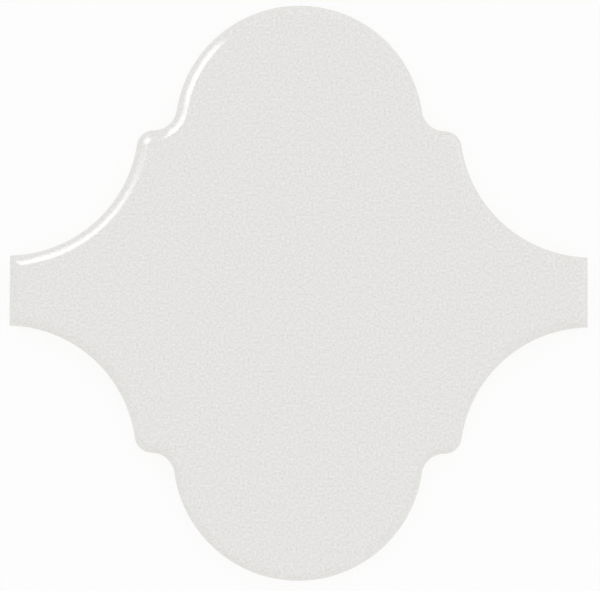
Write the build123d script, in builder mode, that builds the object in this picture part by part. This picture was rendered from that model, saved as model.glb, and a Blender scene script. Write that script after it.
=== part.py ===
"""Arabesque wall tile, pressed from clay in one piece and glazed, lying face up on its keyed back.

Millimetres, +Z up. The origin is the middle of the back, +X points to one flat end and +Y to one lobe.
"""

import math
import os

from build123d import *

# Overall size
tile_width = 120.0  # from flat end to flat end
tile_height = 119.6  # from the crown of one lobe to the crown of the other
tile_thickness = 8.5  # from the back to the glazed face

# Outline
end_height = 14.6  # each flat end, from corner to corner
cusp_radius = 4.15  # the small reverse curves between lobe and flank, along the middle of the joint
joint_width = 1.2  # grout joint that the outline leaves between neighbours

# Edges
face_edge_radius = 2.5  # the rounded edge of the glazed face
tightest_edge = 0.95  # share of the shoulder's radius that the rounded edge may take up at most
back_bevel = 0.5  # the bevel around the back

# Key on the back: shallow square pockets between ribs, for the adhesive
key_depth = 0.5
key_pitch = 10.0  # from rib to rib
key_rib_width = 2.2
key_margin = 3.2  # plain land between the side and the pockets
smallest_pocket = 12.0  # square millimetres: smaller cut-off corners of the pattern stay land

# The interlocking outline runs along the middle of the joint. From the crown of a lobe to the corner of
# an end it is an S of four tangent arcs, all of the same sweep and level halfway, so that half a turn
# about that middle point lays the lobe of one tile in the flank of the next.
half_joint = joint_width / 2
crown = Vector(0, tile_height / 2 + half_joint)
end_corner = Vector(tile_width / 2 + half_joint, end_height / 2 + half_joint)
half_run = (end_corner.X - crown.X) / 2
half_drop = (crown.Y - end_corner.Y) / 2
sweep = 2 * math.atan2(half_drop, half_run)
lobe_radius = half_run / math.sin(sweep) - cusp_radius
sweep_degrees = math.degrees(sweep)

# The rounded edge of the face can't outgrow the shoulders, the tightest round corners that it runs along
shoulder_radius = cusp_radius - half_joint
edge_radius = min(face_edge_radius, tightest_edge * shoulder_radius)

# The real outline: the interlocking one, set in by half a joint
with BuildSketch() as outline:
    with BuildLine():
        lobe = JernArc(crown, (1, 0), lobe_radius, -sweep_degrees)
        neck = JernArc(lobe @ 1, lobe % 1, cusp_radius, sweep_degrees)
        shoulder = JernArc(neck @ 1, neck % 1, cusp_radius, -sweep_degrees)
        flank = JernArc(shoulder @ 1, shoulder % 1, lobe_radius, sweep_degrees)
        Line(flank @ 1, (end_corner.X, 0))
        mirror(about=Plane.YZ)
        mirror(about=Plane.XZ)
    make_face()
    offset(amount=-half_joint, kind=Kind.INTERSECTION)

# The pockets of the key: the outline set in by the margin, less a square grid of ribs through the middle
ribs_across = 2 * math.ceil(tile_width / key_pitch / 2) + 1
ribs_along = 2 * math.ceil(tile_height / key_pitch / 2) + 1
with BuildSketch() as key:
    add(outline.sketch)
    offset(amount=-key_margin, kind=Kind.INTERSECTION)
    with GridLocations(key_pitch, 0, ribs_across, 1):
        Rectangle(key_rib_width, tile_height, mode=Mode.SUBTRACT)
    with GridLocations(0, key_pitch, 1, ribs_along):
        Rectangle(tile_width, key_rib_width, mode=Mode.SUBTRACT)
pockets = key.sketch.faces().filter_by(lambda pocket: pocket.area > smallest_pocket)

with BuildPart() as tile:
    add(outline.sketch)
    extrude(amount=tile_thickness)
    fillet(tile.edges().group_by(Axis.Z)[-1], radius=edge_radius)
    chamfer(tile.edges().group_by(Axis.Z)[0], length=back_bevel)
    extrude(pockets, amount=key_depth, mode=Mode.SUBTRACT)

tile.part.label = "tile"
os.makedirs("parts", exist_ok=True)
export_step(tile.part, "parts/tile.step")
print(f"lobe radius {lobe_radius:.2f}, sweep {sweep_degrees:.1f} degrees, volume {tile.part.volume:.0f}")
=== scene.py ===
"""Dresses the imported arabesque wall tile: pressed clay, gloss glaze and a bare keyed back, on white paper.

Metres, +Z out of the glazed face, +X towards one flat end and +Y towards one lobe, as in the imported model.
"""

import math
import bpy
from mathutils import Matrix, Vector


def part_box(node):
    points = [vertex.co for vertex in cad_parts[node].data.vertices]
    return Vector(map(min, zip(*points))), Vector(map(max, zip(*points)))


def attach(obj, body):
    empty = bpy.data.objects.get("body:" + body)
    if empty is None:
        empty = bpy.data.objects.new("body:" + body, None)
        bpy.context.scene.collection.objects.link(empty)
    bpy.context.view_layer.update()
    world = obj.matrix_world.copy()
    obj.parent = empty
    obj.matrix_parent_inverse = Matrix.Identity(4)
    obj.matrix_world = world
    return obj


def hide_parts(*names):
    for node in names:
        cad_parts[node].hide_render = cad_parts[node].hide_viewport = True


bl_info = {
    "name": "Arabesque Wall Tile",
    "version": (1, 0, 0),
    "blender": (4, 5, 0),
    "location": "3D View > Sidebar > Tile",
    "description": "Models a glazed arabesque wall tile on a photo stage",
    "category": "Add Mesh",
}

import bmesh
import bpy
from bpy.props import FloatProperty, FloatVectorProperty, IntProperty, PointerProperty
from mathutils import Euler, Matrix, Quaternion, Vector, noise

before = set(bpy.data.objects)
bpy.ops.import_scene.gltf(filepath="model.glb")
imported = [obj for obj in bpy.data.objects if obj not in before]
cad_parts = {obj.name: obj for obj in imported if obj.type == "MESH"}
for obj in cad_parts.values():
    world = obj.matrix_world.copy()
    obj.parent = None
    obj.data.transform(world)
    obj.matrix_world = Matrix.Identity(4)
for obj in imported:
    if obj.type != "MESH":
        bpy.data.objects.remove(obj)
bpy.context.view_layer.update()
tile_low, tile_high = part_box("tile")
tile_size = tile_high - tile_low

MM = 0.001
WELD = 0.001 * MM  # vertices closer than this are one
GLAZE, CLAY = 0, 1  # material slots of the tile
ALONG_X = Vector((1, 0, 0))
ALONG_Y = Vector((0, 1, 0))

# Mesh of the outline
LEAST_ARC_STEPS = 14  # however short an arc is
CORNER_ANGLE = math.radians(30)  # a sharper bend is a corner
CORNER_CUTS = 3  # points added along each edge beside a corner
CORNER_PASSES = 2  # times that a corner is softened

# Mesh of the sides and the face
FOOT_SEGMENTS = 4
LIP_SEGMENTS = 3
FLAT_RING = 0.35 * MM  # narrow ring on the flat, which keeps the rounded edge's shading off the rest
SHARP_ANGLE = math.radians(40)  # a sharper edge isn't shaded smooth
STRAIGHT_DOWN = -0.999  # a face whose normal points further down is shaded flat

# The wandering lower edge of the glaze
SLOW_WAVER = 11 * MM  # length of the long waves
QUICK_WAVER = 3 * MM  # length of the short waves
QUICK_SHARE = 0.4  # height of the short waves, as a share of the long ones

# Mesh of the pockets
POCKET_WELD = 0.4 * MM  # points of a rim closer than this are one
POCKET_CHORD = 0.6 * MM  # spacing of the points along a rim
RIM_PASSES = 4  # times that a whole rim is softened
POINT_PASSES = 30  # times that its remaining points are softened
# From a rounded rim down the wall to a rounded floor, in shares of the draft and the depth
POCKET_STEPS = ((0.2, 0.06), (0.15, 0.24), (0.25, 0.46), (0.15, 0.18), (0.25, 0.06))

# Stage
FLOOR_REACH = 4.0  # from the floor's middle to its sides
FLOOR_GAP = 0.02 * MM  # keeps the floor clear of the back
NEAREST_SEEN = 10 * MM  # from the camera


def linear(hex_colour):
    """Turns an sRGB hex colour into linear red, green and blue."""
    levels = (int(hex_colour[place:place + 2], 16) / 255 for place in (1, 3, 5))
    return tuple(v / 12.92 if v <= 0.04045 else ((v + 0.055) / 1.055) ** 2.4 for v in levels)


class TileShape(bpy.types.PropertyGroup):
    """Sizes of the pressed tile"""

    width: FloatProperty(
        name="Width", description="From flat end to flat end", default=tile_size.x, unit="LENGTH"
    )
    height: FloatProperty(
        name="Height",
        description="From the crown of one lobe to the other",
        default=tile_size.y,
        unit="LENGTH",
    )
    thickness: FloatProperty(
        name="Thickness", description="From the back to the glazed face", default=tile_size.z, unit="LENGTH"
    )
    end_height: FloatProperty(
        name="End Height",
        description="Each flat end, from corner to corner",
        default=14.6 * MM,
        unit="LENGTH",
    )
    cusp_radius: FloatProperty(
        name="Cusp Radius",
        description="The small reverse curves between lobe and flank, along the middle of the joint",
        default=4.15 * MM,
        unit="LENGTH",
    )
    joint_width: FloatProperty(
        name="Joint Width",
        description="Grout joint left between neighbours",
        default=1.2 * MM,
        unit="LENGTH",
    )
    chord: FloatProperty(
        name="Chord",
        description="Spacing of the points along the outline",
        default=0.45 * MM,
        unit="LENGTH",
    )
    face_edge_radius: FloatProperty(
        name="Face Edge Radius",
        description="Rounded edge of the glazed face",
        default=2.5 * MM,
        unit="LENGTH",
    )
    face_edge_segments: IntProperty(
        name="Face Edge Segments", description="Steps around the rounded edge of the face", default=18
    )
    face_grid: FloatProperty(
        name="Face Grid",
        description="Spacing of the mesh on the flat of the face",
        default=6 * MM,
        unit="LENGTH",
    )
    foot_radius: FloatProperty(
        name="Foot Radius", description="Rounded edge around the back", default=0.5 * MM, unit="LENGTH"
    )
    glaze_line: FloatProperty(
        name="Glaze Line",
        description="Height at which the glaze ends on the sides",
        default=2.6 * MM,
        unit="LENGTH",
    )
    glaze_waver: FloatProperty(
        name="Glaze Waver",
        description="How far the glaze line strays up and down",
        default=0.55 * MM,
        unit="LENGTH",
    )
    glaze_lip: FloatProperty(
        name="Glaze Lip",
        description="How far the bare clay lies behind the glaze",
        default=0.12 * MM,
        unit="LENGTH",
    )


class KeyShape(bpy.types.PropertyGroup):
    """Sizes of the key pressed into the back"""

    depth: FloatProperty(name="Depth", description="Depth of the pockets", default=0.5 * MM, unit="LENGTH")
    pitch: FloatProperty(name="Pitch", description="From rib to rib", default=10 * MM, unit="LENGTH")
    rib_width: FloatProperty(
        name="Rib Width",
        description="Width of the ribs between the pockets",
        default=2.2 * MM,
        unit="LENGTH",
    )
    margin: FloatProperty(
        name="Margin",
        description="Plain land between the side and the pockets",
        default=3.2 * MM,
        unit="LENGTH",
    )
    smallest: FloatProperty(
        name="Smallest Pocket", description="Smaller pockets stay land", default=12 * MM * MM, unit="AREA"
    )
    draft: FloatProperty(
        name="Draft", description="How far a pocket's wall leans in", default=0.25 * MM, unit="LENGTH"
    )


class TileFinish(bpy.types.PropertyGroup):
    """Colours of the fired tile"""

    glaze: FloatVectorProperty(
        name="Glaze",
        description="Gloss white glaze",
        default=linear("#E6E5E3"),
        subtype="COLOR",
        min=0,
        max=1,
    )
    clay: FloatVectorProperty(
        name="Clay",
        description="Bare fired clay",
        default=linear("#E7DCC8"),
        subtype="COLOR",
        min=0,
        max=1,
    )
    grog: FloatVectorProperty(
        name="Grog",
        description="Ground grains in the clay",
        default=linear("#B99F7E"),
        subtype="COLOR",
        min=0,
        max=1,
    )


class PhotoStage(bpy.types.PropertyGroup):
    """Floor, light and camera"""

    paper: FloatVectorProperty(
        name="Paper",
        description="Seamless paper under the tile",
        default=linear("#F7F7F7"),
        subtype="COLOR",
        min=0,
        max=1,
    )
    backdrop: FloatVectorProperty(
        name="Backdrop",
        description="Tone of the background",
        default=linear("#FEFEFE"),
        subtype="COLOR",
        min=0,
        max=1,
    )
    shadow_share: FloatProperty(
        name="Shadow Share",
        description="How much of the tile's shadow the paper shows",
        default=0.1,
        subtype="FACTOR",
    )
    dim_side: FloatVectorProperty(
        name="Dim Side",
        description="Side of the room that gives less light",
        default=(-0.45, -0.89, 0),
        subtype="DIRECTION",
    )
    dimming: FloatProperty(
        name="Dimming",
        description="How much less light comes from the dim side",
        default=0.1,
        subtype="FACTOR",
    )
    strip_place: FloatVectorProperty(
        name="Strip Light Place",
        description="Middle of the strip light that draws the gloss along the edge",
        default=(-101.1 * MM, 120.2 * MM, 240.1 * MM),
        subtype="TRANSLATION",
        unit="LENGTH",
    )
    strip_aim: FloatVectorProperty(
        name="Strip Light Aim",
        description="Way that the strip light faces",
        default=(0.954, -0.294, -0.05),
        subtype="DIRECTION",
    )
    strip_roll: FloatProperty(
        name="Strip Light Roll",
        description="Turn of the strip light about the way it faces",
        default=math.radians(4.1),
        subtype="ANGLE",
    )
    strip_size: FloatVectorProperty(
        name="Strip Light Size",
        description="Width and height of the strip light",
        default=(121.5 * MM, 439.8 * MM),
        size=2,
        subtype="XYZ_LENGTH",
    )
    strip_level: FloatProperty(
        name="Strip Light Level", description="Brightness of the strip light, where 1 is white", default=5.6
    )
    strip_fade: FloatVectorProperty(
        name="Strip Light Fade",
        description="Share of the strip light that fades out at its sides, its foot and its head",
        default=(0.295, 0.275, 0.01),
        size=3,
    )
    card_place: FloatVectorProperty(
        name="Card Place",
        description="Middle of the lit card that draws a faint line along the right-hand edge",
        default=(300 * MM, 80 * MM, 45 * MM),
        subtype="TRANSLATION",
        unit="LENGTH",
    )
    card_aim: FloatVectorProperty(
        name="Card Aim", description="Way that the card faces", default=(-1, 0, 0), subtype="DIRECTION"
    )
    card_size: FloatVectorProperty(
        name="Card Size",
        description="Width and height of the card",
        default=(220 * MM, 88 * MM),
        size=2,
        subtype="XYZ_LENGTH",
    )
    card_level: FloatProperty(
        name="Card Level", description="Brightness of the card, where 1 is white", default=2.2
    )
    card_fade: FloatVectorProperty(
        name="Card Fade",
        description="Share of the card that fades out at its sides, its foot and its head",
        default=(0.5, 0.01, 0.6),
        size=3,
    )
    lens: FloatProperty(name="Lens", description="Focal length of the camera", default=150.0, unit="CAMERA")
    view_centre: FloatVectorProperty(
        name="View Centre",
        description="Point that the camera looks at",
        default=(0.272 * MM, -0.86 * MM, 6.29 * MM),
        subtype="TRANSLATION",
        unit="LENGTH",
    )
    distance: FloatProperty(
        name="Distance",
        description="From the camera to the view's centre",
        default=518.7 * MM,
        unit="LENGTH",
    )
    tilt: FloatProperty(
        name="Tilt",
        description="How far the camera leans from looking straight down",
        default=math.radians(3.28),
        subtype="ANGLE",
    )
    roll: FloatProperty(
        name="Roll", description="Turn of the camera about its view", default=0.00338, subtype="ANGLE"
    )


def everything(bm):
    """Returns all vertices, edges and faces."""
    return bm.verts[:] + bm.edges[:] + bm.faces[:]


def corners(bm):
    """Returns the vertices at sharp corners of outlines."""
    return [vert for vert in bm.verts if vert.calc_edge_angle() > CORNER_ANGLE]


def corner_edges(loop):
    """Returns the two edges at each sharp corner of a loop."""
    return [edge for vert in corners(loop) for edge in vert.link_edges]


def soften(bm, verts):
    """Moves points of outlines halfway to the middle between their neighbours."""
    bmesh.ops.smooth_vert(bm, verts=verts, factor=0.5, use_axis_x=True, use_axis_y=True)


def draw_outline(bm, shape, inset, z):
    """Adds the tile's outline, set in and raised, to a mesh as a closed loop and returns its edges."""
    half_joint = shape.joint_width / 2
    crown_y = shape.height / 2 + half_joint
    corner_x = shape.width / 2 + half_joint
    corner_y = shape.end_height / 2 + half_joint
    half_run = corner_x / 2
    half_drop = (crown_y - corner_y) / 2
    halfway_y = crown_y - half_drop
    sweep = 2 * math.atan2(half_drop, half_run)
    lobe_radius = half_run / math.sin(sweep) - shape.cusp_radius
    gap = half_joint + inset
    flank_sweep = sweep - math.asin(gap / (lobe_radius + gap))
    arcs = (
        (0, crown_y - lobe_radius, lobe_radius, -sweep),  # lobe
        (half_run, halfway_y + shape.cusp_radius, shape.cusp_radius, sweep),  # neck
        (half_run, halfway_y - shape.cusp_radius, shape.cusp_radius, -sweep),  # shoulder
        (corner_x, corner_y + lobe_radius, lobe_radius, flank_sweep),  # flank
    )
    loop = bmesh.new()
    tip = loop.verts.new((0, shape.height / 2 - inset, z))
    for x, y, radius, turn in arcs:
        steps = max(LEAST_ARC_STEPS, round(radius * sweep / shape.chord))
        arc = bmesh.ops.spin(loop, geom=[tip], cent=(x, y, 0), axis=(0, 0, 1), angle=turn, steps=steps)
        tip = arc["geom_last"][0]
    tip.co.x = shape.width / 2 - inset
    half_end = bmesh.ops.extrude_vert_indiv(loop, verts=[tip])
    half_end["verts"][0].co.y = 0
    bmesh.ops.bisect_edges(loop, edges=half_end["edges"], cuts=round(shape.end_height / 2 / shape.chord))
    for axis in "XY":
        half = loop.verts[:] + loop.edges[:]
        bmesh.ops.mirror(loop, geom=half, matrix=Matrix.Identity(4), merge_dist=WELD, axis=axis)
    bmesh.ops.remove_doubles(loop, verts=loop.verts[:], dist=WELD)
    bmesh.ops.bisect_edges(loop, edges=corner_edges(loop), cuts=CORNER_CUTS)
    blunt = list({vert for edge in corner_edges(loop) for vert in edge.verts})
    for _ in range(CORNER_PASSES):
        soften(loop, blunt)
    mesh = bpy.data.meshes.new("outline")
    loop.to_mesh(mesh)
    loop.free()
    known = len(bm.edges)
    bm.from_mesh(mesh)
    bpy.data.meshes.remove(mesh)
    bm.edges.ensure_lookup_table()
    return bm.edges[known:]


def quarter_round(radius, segments):
    """Returns the points of a rounded edge by run and rise, from the wall to the flat."""
    turns = [math.pi / 2 * step / segments for step in range(segments + 1)]
    return [(radius * (1 - math.cos(turn)), radius * math.sin(turn)) for turn in turns]


def waver_ring(ring, waver):
    """Lets a ring on the sides stray up and down, as the lower edge of a sprayed glaze does."""
    for vert in {vert for edge in ring for vert in edge.verts}:
        place = Vector((vert.co.x, vert.co.y, 0))
        slow = noise.noise(place / SLOW_WAVER)
        quick = noise.noise(place / QUICK_WAVER)
        vert.co.z += waver * (slow + QUICK_SHARE * quick)


def press_body(bm, shape):
    """Builds the sides and rounded edges ring by ring, from the foot up, and lays the flat of the face."""
    foot_round = quarter_round(shape.foot_radius, FOOT_SEGMENTS)
    lip_round = quarter_round(shape.glaze_lip, LIP_SEGMENTS)
    edge_round = quarter_round(shape.face_edge_radius, shape.face_edge_segments)
    edge_z = shape.thickness - shape.face_edge_radius
    foot = [(shape.glaze_lip + run, shape.foot_radius - rise) for run, rise in reversed(foot_round)]
    lip = [(shape.glaze_lip - run, shape.glaze_line + rise) for run, rise in lip_round]
    edge = [(run, edge_z + rise) for run, rise in edge_round]
    flat = (shape.face_edge_radius + FLAT_RING, shape.thickness)
    lip_from, lip_to = len(foot), len(foot) + len(lip)
    below = None
    for step, (inset, z) in enumerate([*foot, *lip, *edge, flat]):
        ring = draw_outline(bm, shape, inset, z)
        if lip_from <= step < lip_to:
            waver_ring(ring, shape.glaze_waver)
        if below:
            band = bmesh.ops.bridge_loops(bm, edges=below + ring)
            for face in band["faces"]:
                face.material_index = GLAZE if step > lip_from else CLAY
        below = ring
    face = bmesh.ops.edgeloop_fill(bm, edges=below)["faces"]
    cut_grid(bm, face, shape)


def cut_grid(bm, faces, shape):
    """Divides the flat of the face into a square grid."""
    half_cells = math.ceil(max(shape.width, shape.height) / shape.face_grid / 2)
    for axis in (ALONG_X, ALONG_Y):
        for cell in range(-half_cells, half_cells + 1):
            parts = {part for face in faces for part in (face, *face.edges, *face.verts)}
            place = axis * cell * shape.face_grid
            cut = bmesh.ops.bisect_plane(bm, geom=list(parts), plane_co=place, plane_no=axis, dist=WELD)
            faces = [item for item in cut["geom"] if isinstance(item, bmesh.types.BMFace)]


def cut_pockets(bm, shape, key):
    """Draws the field of the key and cuts it along the ribs, which go, as do pockets that are too small."""
    bmesh.ops.edgeloop_fill(bm, edges=draw_outline(bm, shape, key.margin, 0))
    for axis, extent in ((ALONG_X, shape.width), (ALONG_Y, shape.height)):
        half_ribs = math.ceil(extent / key.pitch / 2)
        for rib in range(-half_ribs, half_ribs + 1):
            for side in (-0.5, 0.5):
                place = axis * (rib * key.pitch + side * key.rib_width)
                bmesh.ops.bisect_plane(bm, geom=everything(bm), plane_co=place, plane_no=axis, dist=WELD)

    def on_rib(along):
        return abs((along + key.pitch / 2) % key.pitch - key.pitch / 2) < key.rib_width / 2

    spare = []
    for face in bm.faces:
        middle = face.calc_center_bounds()
        if on_rib(middle.x) or on_rib(middle.y) or face.calc_area() < key.smallest:
            spare.append(face)
    bmesh.ops.delete(bm, geom=spare, context="FACES")


def round_pockets(bm):
    """Spaces the points of the pockets' rims evenly and rounds their corners."""
    bmesh.ops.remove_doubles(bm, verts=bm.verts[:], dist=POCKET_WELD)
    by_cuts = {}
    for edge in bm.edges:
        by_cuts.setdefault(int(edge.calc_length() / POCKET_CHORD), []).append(edge)
    for cuts, edges in by_cuts.items():
        if cuts:
            bmesh.ops.bisect_edges(bm, edges=edges, cuts=cuts)
    for _ in range(RIM_PASSES):
        soften(bm, bm.verts[:])
    for _ in range(POINT_PASSES):
        soften(bm, corners(bm))


def sink_pockets(bm, key):
    """Presses the pockets in from the level of the back, with walls that lean in."""
    for face in bm.faces:
        face.material_index = CLAY
        if face.normal.z > 0:
            face.normal_flip()
    floors = bm.faces[:]
    for inwards, down in POCKET_STEPS:
        bmesh.ops.inset_individual(bm, faces=floors, thickness=inwards * key.draft, depth=-down * key.depth)


def key_back(bm, shape, key):
    """Adds the pockets of the key and fills the land between them and the foot."""
    pockets = bmesh.new()
    cut_pockets(pockets, shape, key)
    round_pockets(pockets)
    sink_pockets(pockets, key)
    mesh = bpy.data.meshes.new("pockets")
    pockets.to_mesh(mesh)
    pockets.free()
    bm.from_mesh(mesh)
    bpy.data.meshes.remove(mesh)
    rims = [edge for edge in bm.edges if edge.is_boundary]
    land = bmesh.ops.triangle_fill(bm, use_beauty=True, edges=rims, normal=(0, 0, -1))
    for item in land["geom"]:
        if isinstance(item, bmesh.types.BMFace):
            item.material_index = CLAY


def add_node(tree, kind, inputs=(), **settings):
    """Adds a shader node with its settings, and its inputs as values or as links from other outputs."""
    node = tree.nodes.new(kind)
    for name, value in settings.items():
        setattr(node, name, value)
    for socket, value in dict(inputs).items():
        if isinstance(value, bpy.types.NodeSocket):
            tree.links.new(value, node.inputs[socket])
        else:
            node.inputs[socket].default_value = value
    return node


def new_material(name):
    """Adds an empty material and returns it with its node tree."""
    material = bpy.data.materials.new(name)
    material.use_nodes = True
    tree = material.node_tree
    tree.nodes.clear()
    return material, tree


def scale_for(millimetres):
    """Returns a noise scale whose cells are that wide."""
    return 1 / (millimetres * MM)


def gloss_tin_glaze(finish, shape):
    """White glaze, fired to a glass: mirror-smooth but for a faint orange peel, its white finely mottled.

    It pulls thin over the rounded edge and at its lower end, where the clay below warms it. Over the rounded
    edge, that warmer tint is also painted shade that darkens the rim.
    """
    thinnest_and_shadiest_on_edge = shape.thickness - 0.6 * shape.face_edge_radius  # height where the edge thins it most, and where the painted shade on the rim is deepest
    thin_from = shape.glaze_line + 1.6 * MM  # height below which it thins towards its lower end
    edge_clay_and_painted_shade, clay_at_end = 0.08, 0.3  # shares of the clay's colour that come through; on the edge, that share is also painted shade on the rim
    peel_depth, wave_depth = 0.0015 * MM, 0.015 * MM

    material, tree = new_material("gloss_tin_glaze")
    place = add_node(tree, "ShaderNodeTexCoord").outputs["Object"]
    height = add_node(tree, "ShaderNodeSeparateXYZ", {"Vector": place}).outputs["Z"]
    # Over the rounded edge the clay tint is partly thinning glaze and partly painted shade on the rim
    edge_thinning_and_painted_shade = add_node(
        tree,
        "ShaderNodeMapRange",
        {"Value": height, "From Min": shape.thickness, "From Max": thinnest_and_shadiest_on_edge, "To Max": edge_clay_and_painted_shade},
    )
    lower_end = add_node(
        tree,
        "ShaderNodeMapRange",
        {"Value": height, "From Min": thin_from, "From Max": shape.glaze_line, "To Max": clay_at_end},
    )
    thinning_and_edge_shade = add_node(
        tree,
        "ShaderNodeMath",
        {0: edge_thinning_and_painted_shade.outputs["Result"], 1: lower_end.outputs["Result"]},
        operation="ADD",
    )
    warmed_and_edge_shaded = add_node(
        tree,
        "ShaderNodeMix",
        {"Factor": thinning_and_edge_shade.outputs[0], "A": (*finish.glaze, 1), "B": (*finish.clay, 1)},
        data_type="RGBA",
    )
    # The crystals that make the glaze white are far finer, and are drawn 0.5 mm wide so that they show
    mottle = add_node(
        tree,
        "ShaderNodeTexNoise",
        {"Vector": place, "Scale": scale_for(0.5), "Detail": 1.0, "Roughness": 0.5},
    )
    tone = add_node(
        tree,
        "ShaderNodeMapRange",
        {"Value": mottle.outputs["Fac"], "From Min": 0.2, "From Max": 0.8, "To Min": 0.9, "To Max": 1.1},
    )
    white = add_node(
        tree,
        "ShaderNodeVectorMath",
        {0: warmed_and_edge_shaded.outputs["Result"], "Scale": tone.outputs["Result"]},
        operation="SCALE",
    )
    # Orange peel about 2 mm from crest to crest, on slow waves of about 15 mm
    peel = add_node(tree, "ShaderNodeTexNoise", {"Vector": place, "Scale": scale_for(2.2), "Detail": 1.0})
    wave = add_node(tree, "ShaderNodeTexNoise", {"Vector": place, "Scale": scale_for(15), "Detail": 0.0})
    fine = add_node(
        tree, "ShaderNodeBump", {"Height": peel.outputs["Fac"], "Strength": 1.0, "Distance": peel_depth}
    )
    broad = add_node(
        tree,
        "ShaderNodeBump",
        {
            "Height": wave.outputs["Fac"],
            "Strength": 1.0,
            "Distance": wave_depth,
            "Normal": fine.outputs["Normal"],
        },
    )
    shader = add_node(
        tree,
        "ShaderNodeBsdfPrincipled",
        {
            "Base Color": white.outputs["Vector"],
            "Roughness": 0.08,
            "IOR": 1.52,
            "Normal": broad.outputs["Normal"],
        },
    )
    add_node(tree, "ShaderNodeOutputMaterial", {"Surface": shader.outputs["BSDF"]})
    return material


def bisque_clay(finish):
    """Bare clay, fired once: dry and matt cream with a sandy grain and a few darker grains of grog."""
    grain_depth = 0.05 * MM

    material, tree = new_material("bisque_clay")
    place = add_node(tree, "ShaderNodeTexCoord").outputs["Object"]
    grain = add_node(
        tree,
        "ShaderNodeTexNoise",
        {"Vector": place, "Scale": scale_for(0.5), "Detail": 3.0, "Roughness": 0.6},
    )
    cloud = add_node(tree, "ShaderNodeTexNoise", {"Vector": place, "Scale": scale_for(14), "Detail": 2.0})
    # Grains of grog are about half a millimetre wide
    specks = add_node(
        tree, "ShaderNodeTexNoise", {"Vector": place, "Scale": scale_for(0.55), "Detail": 0.0}
    )
    speck_mask = add_node(
        tree,
        "ShaderNodeMapRange",
        {"Value": specks.outputs["Fac"], "From Min": 0.70, "From Max": 0.80, "To Max": 0.5},
    )
    tone = add_node(
        tree,
        "ShaderNodeMapRange",
        {"Value": cloud.outputs["Fac"], "From Min": 0.3, "From Max": 0.7, "To Min": 0.94, "To Max": 1.04},
    )
    body = add_node(
        tree, "ShaderNodeVectorMath", {0: finish.clay, "Scale": tone.outputs["Result"]}, operation="SCALE"
    )
    colour = add_node(
        tree,
        "ShaderNodeMix",
        {"Factor": speck_mask.outputs["Result"], "A": body.outputs["Vector"], "B": (*finish.grog, 1)},
        data_type="RGBA",
    )
    bump = add_node(
        tree, "ShaderNodeBump", {"Height": grain.outputs["Fac"], "Strength": 1.0, "Distance": grain_depth}
    )
    shader = add_node(
        tree,
        "ShaderNodeBsdfPrincipled",
        {
            "Base Color": colour.outputs["Result"],
            "Roughness": 0.92,
            "IOR": 1.45,
            "Normal": bump.outputs["Normal"],
        },
    )
    add_node(tree, "ShaderNodeOutputMaterial", {"Surface": shader.outputs["BSDF"]})
    return material


class TILE_OT_glazed_tile(bpy.types.Operator):
    """Models the tile: pressed body, glaze down to a line on its sides, bare keyed back"""

    bl_idname = "tile.glazed_tile"
    bl_label = "Glazed Tile"

    def execute(self, context):
        scene = context.scene
        bm = bmesh.new()
        press_body(bm, scene.tile_shape)
        key_back(bm, scene.tile_shape, scene.tile_key)
        bmesh.ops.recalc_face_normals(bm, faces=bm.faces[:])
        if any(not edge.is_manifold for edge in bm.edges):
            raise RuntimeError("the tile's surface isn't closed")
        for face in bm.faces:
            face.smooth = face.normal.z > STRAIGHT_DOWN
        for edge in bm.edges:
            edge.smooth = edge.calc_face_angle() < SHARP_ANGLE
        mesh = bpy.data.meshes.new("glazed_tile")
        bm.to_mesh(mesh)
        bm.free()
        mesh.materials.append(gloss_tin_glaze(scene.tile_finish, scene.tile_shape))
        mesh.materials.append(bisque_clay(scene.tile_finish))
        tile = bpy.data.objects.new("glazed_tile", mesh)
        scene.collection.objects.link(tile)
        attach(tile, "root")
        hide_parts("tile")
        return {"FINISHED"}


def seen_share(tree):
    """Adds nodes that give 1 to the camera, to gloss and to glass, and 0 to the light on other surfaces."""
    path = add_node(tree, "ShaderNodeLightPath").outputs
    seen = path["Is Camera Ray"]
    for ray in ("Is Glossy Ray", "Is Transmission Ray"):
        seen = add_node(tree, "ShaderNodeMath", {0: seen, 1: path[ray]}, operation="MAXIMUM").outputs[0]
    return seen


def seamless_paper(stage):
    """White studio paper: matt, and seen at the tone of the backdrop with a share of the tile's shadow."""
    material, tree = new_material("seamless_paper")
    share = add_node(
        tree, "ShaderNodeMath", {0: seen_share(tree), 1: 1 - stage.shadow_share}, operation="MULTIPLY"
    )
    matt = add_node(tree, "ShaderNodeBsdfDiffuse", {"Color": (*stage.paper, 1)})
    glow = add_node(tree, "ShaderNodeEmission", {"Color": (*stage.backdrop, 1), "Strength": 1.0})
    mixed = add_node(
        tree,
        "ShaderNodeMixShader",
        {0: share.outputs[0], 1: matt.outputs["BSDF"], 2: glow.outputs["Emission"]},
    )
    add_node(tree, "ShaderNodeOutputMaterial", {"Surface": mixed.outputs["Shader"]})
    return material


def lay_floor(scene):
    """Lays the paper under the tile."""
    bm = bmesh.new()
    bmesh.ops.create_grid(bm, x_segments=4, y_segments=4, size=FLOOR_REACH)
    bmesh.ops.translate(bm, verts=bm.verts[:], vec=(0, 0, -FLOOR_GAP))
    mesh = bpy.data.meshes.new("floor")
    bm.to_mesh(mesh)
    bm.free()
    mesh.materials.append(seamless_paper(scene.tile_stage))
    floor = bpy.data.objects.new("floor", mesh)
    scene.collection.objects.link(floor)


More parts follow.
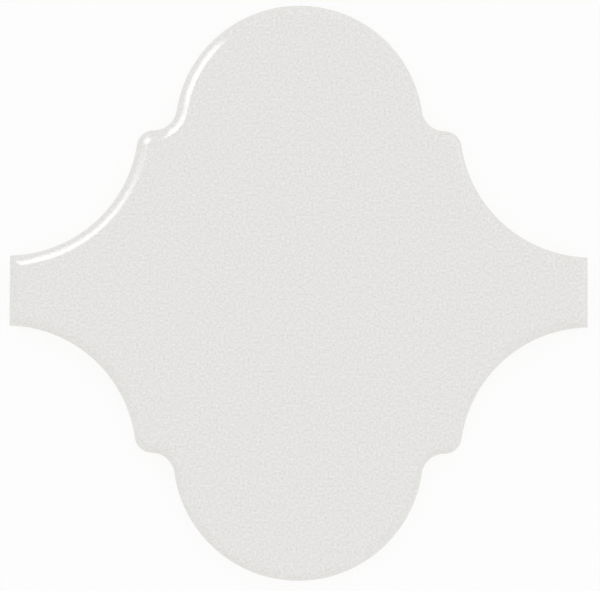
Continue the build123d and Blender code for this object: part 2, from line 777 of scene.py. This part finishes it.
def light_room(scene):
    """Lights the tile from all around, a little less from the dim side, before a white backdrop."""
    stage = scene.tile_stage
    world = bpy.data.worlds.new("soft_box")
    world.use_nodes = True
    tree = world.node_tree
    tree.nodes.clear()
    way = add_node(tree, "ShaderNodeTexCoord").outputs["Generated"]
    towards_dim = add_node(
        tree, "ShaderNodeVectorMath", {0: way, 1: stage.dim_side}, operation="DOT_PRODUCT"
    )
    room = add_node(
        tree,
        "ShaderNodeMapRange",
        {"Value": towards_dim.outputs["Value"], "To Min": 1, "To Max": 1 - stage.dimming},
    )
    tint = add_node(
        tree,
        "ShaderNodeMix",
        {"Factor": seen_share(tree), "A": room.outputs["Result"], "B": (*stage.backdrop, 1)},
        data_type="RGBA",
    )
    sky = add_node(tree, "ShaderNodeBackground", {"Color": tint.outputs["Result"], "Strength": 1.0})
    add_node(tree, "ShaderNodeOutputWorld", {"Surface": sky.outputs["Background"]})
    scene.world = world


def fade_lamp(lamp, fade):
    """Lets a lamp fade out towards its edges, as the cloth of a soft box does."""
    sides, foot, head = fade
    lamp.use_nodes = True
    tree = lamp.node_tree
    tree.nodes.clear()
    spot = add_node(tree, "ShaderNodeNewGeometry").outputs["Parametric"]
    spot = add_node(tree, "ShaderNodeSeparateXYZ", {"Vector": spot}).outputs
    level = 1
    for along, dark, full in (("X", 0, sides), ("X", 1, 1 - sides), ("Y", 0, foot), ("Y", 1, 1 - head)):
        ramp = add_node(
            tree,
            "ShaderNodeMapRange",
            {"Value": spot[along], "From Min": dark, "From Max": full},
            interpolation_type="SMOOTHSTEP",
        )
        product = add_node(
            tree, "ShaderNodeMath", {0: level, 1: ramp.outputs["Result"]}, operation="MULTIPLY"
        )
        level = product.outputs[0]
    glow = add_node(tree, "ShaderNodeEmission", {"Strength": level})
    add_node(tree, "ShaderNodeOutputLight", {"Surface": glow.outputs["Emission"]})


def hang_lamp(scene, name, place, turn, size, level, fade):
    """Hangs a soft lamp that only the gloss shows, with a brightness where 1 is white."""
    lamp = bpy.data.lights.new(name, "AREA")
    lamp.shape = "RECTANGLE"
    lamp.size, lamp.size_y = size
    lamp.energy = level * math.pi * lamp.size * lamp.size_y
    fade_lamp(lamp, fade)
    lamp_object = bpy.data.objects.new(name, lamp)
    lamp_object.location = place
    lamp_object.rotation_euler = turn.to_euler()
    lamp_object.visible_camera = False
    lamp_object.visible_diffuse = False
    scene.collection.objects.link(lamp_object)


def hang_lamps(scene):
    """Hangs the strip light at the upper left and the card at the right."""
    stage = scene.tile_stage
    strip_turn = stage.strip_aim.to_track_quat("-Z", "Y") @ Quaternion((0, 0, 1), stage.strip_roll)
    hang_lamp(
        scene,
        "strip_light",
        stage.strip_place,
        strip_turn,
        stage.strip_size,
        stage.strip_level,
        stage.strip_fade,
    )
    card_turn = stage.card_aim.to_track_quat("-Z", "Y")
    hang_lamp(
        scene,
        "white_card",
        stage.card_place,
        card_turn,
        stage.card_size,
        stage.card_level,
        stage.card_fade,
    )


def aim_camera(scene):
    """Sets the camera above the tile, looking almost straight down."""
    stage = scene.tile_stage
    camera = bpy.data.cameras.new("camera")
    camera.lens = stage.lens
    camera.clip_start = NEAREST_SEEN
    camera_object = bpy.data.objects.new("camera", camera)
    turn = Euler((stage.tilt, 0, stage.roll))
    camera_object.rotation_euler = turn
    camera_object.location = stage.view_centre + turn.to_matrix() @ Vector((0, 0, stage.distance))
    scene.collection.objects.link(camera_object)
    scene.camera = camera_object


class TILE_OT_photo_stage(bpy.types.Operator):
    """Sets the pale floor, the soft light and the camera"""

    bl_idname = "tile.photo_stage"
    bl_label = "Photo Stage"

    def execute(self, context):
        scene = context.scene
        lay_floor(scene)
        light_room(scene)
        hang_lamps(scene)
        aim_camera(scene)
        scene.view_settings.view_transform = "Standard"
        return {"FINISHED"}


class TILE_PT_sidebar(bpy.types.Panel):
    """Lists the tile's sizes, colours and stage"""

    bl_idname = "TILE_PT_sidebar"
    bl_label = "Arabesque Wall Tile"
    bl_space_type = "VIEW_3D"
    bl_region_type = "UI"
    bl_category = "Tile"

    def draw(self, context):
        column = self.layout.column()
        groups = (
            (context.scene.tile_shape, None),
            (context.scene.tile_key, None),
            (context.scene.tile_finish, TILE_OT_glazed_tile),
            (context.scene.tile_stage, TILE_OT_photo_stage),
        )
        for group, operator in groups:
            for name in group.__annotations__:
                column.prop(group, name)
            if operator:
                column.operator(operator.bl_idname)
            column.separator()


classes = (
    TileShape,
    KeyShape,
    TileFinish,
    PhotoStage,
    TILE_OT_glazed_tile,
    TILE_OT_photo_stage,
    TILE_PT_sidebar,
)


def register():
    for cls in classes:
        bpy.utils.register_class(cls)
    bpy.types.Scene.tile_shape = PointerProperty(type=TileShape)
    bpy.types.Scene.tile_key = PointerProperty(type=KeyShape)
    bpy.types.Scene.tile_finish = PointerProperty(type=TileFinish)
    bpy.types.Scene.tile_stage = PointerProperty(type=PhotoStage)


def unregister():
    del bpy.types.Scene.tile_stage
    del bpy.types.Scene.tile_finish
    del bpy.types.Scene.tile_key
    del bpy.types.Scene.tile_shape
    for cls in reversed(classes):
        bpy.utils.unregister_class(cls)


def main():
    register()
    bpy.ops.tile.glazed_tile()
    bpy.ops.tile.photo_stage()


if __name__ == "__main__":
    main()
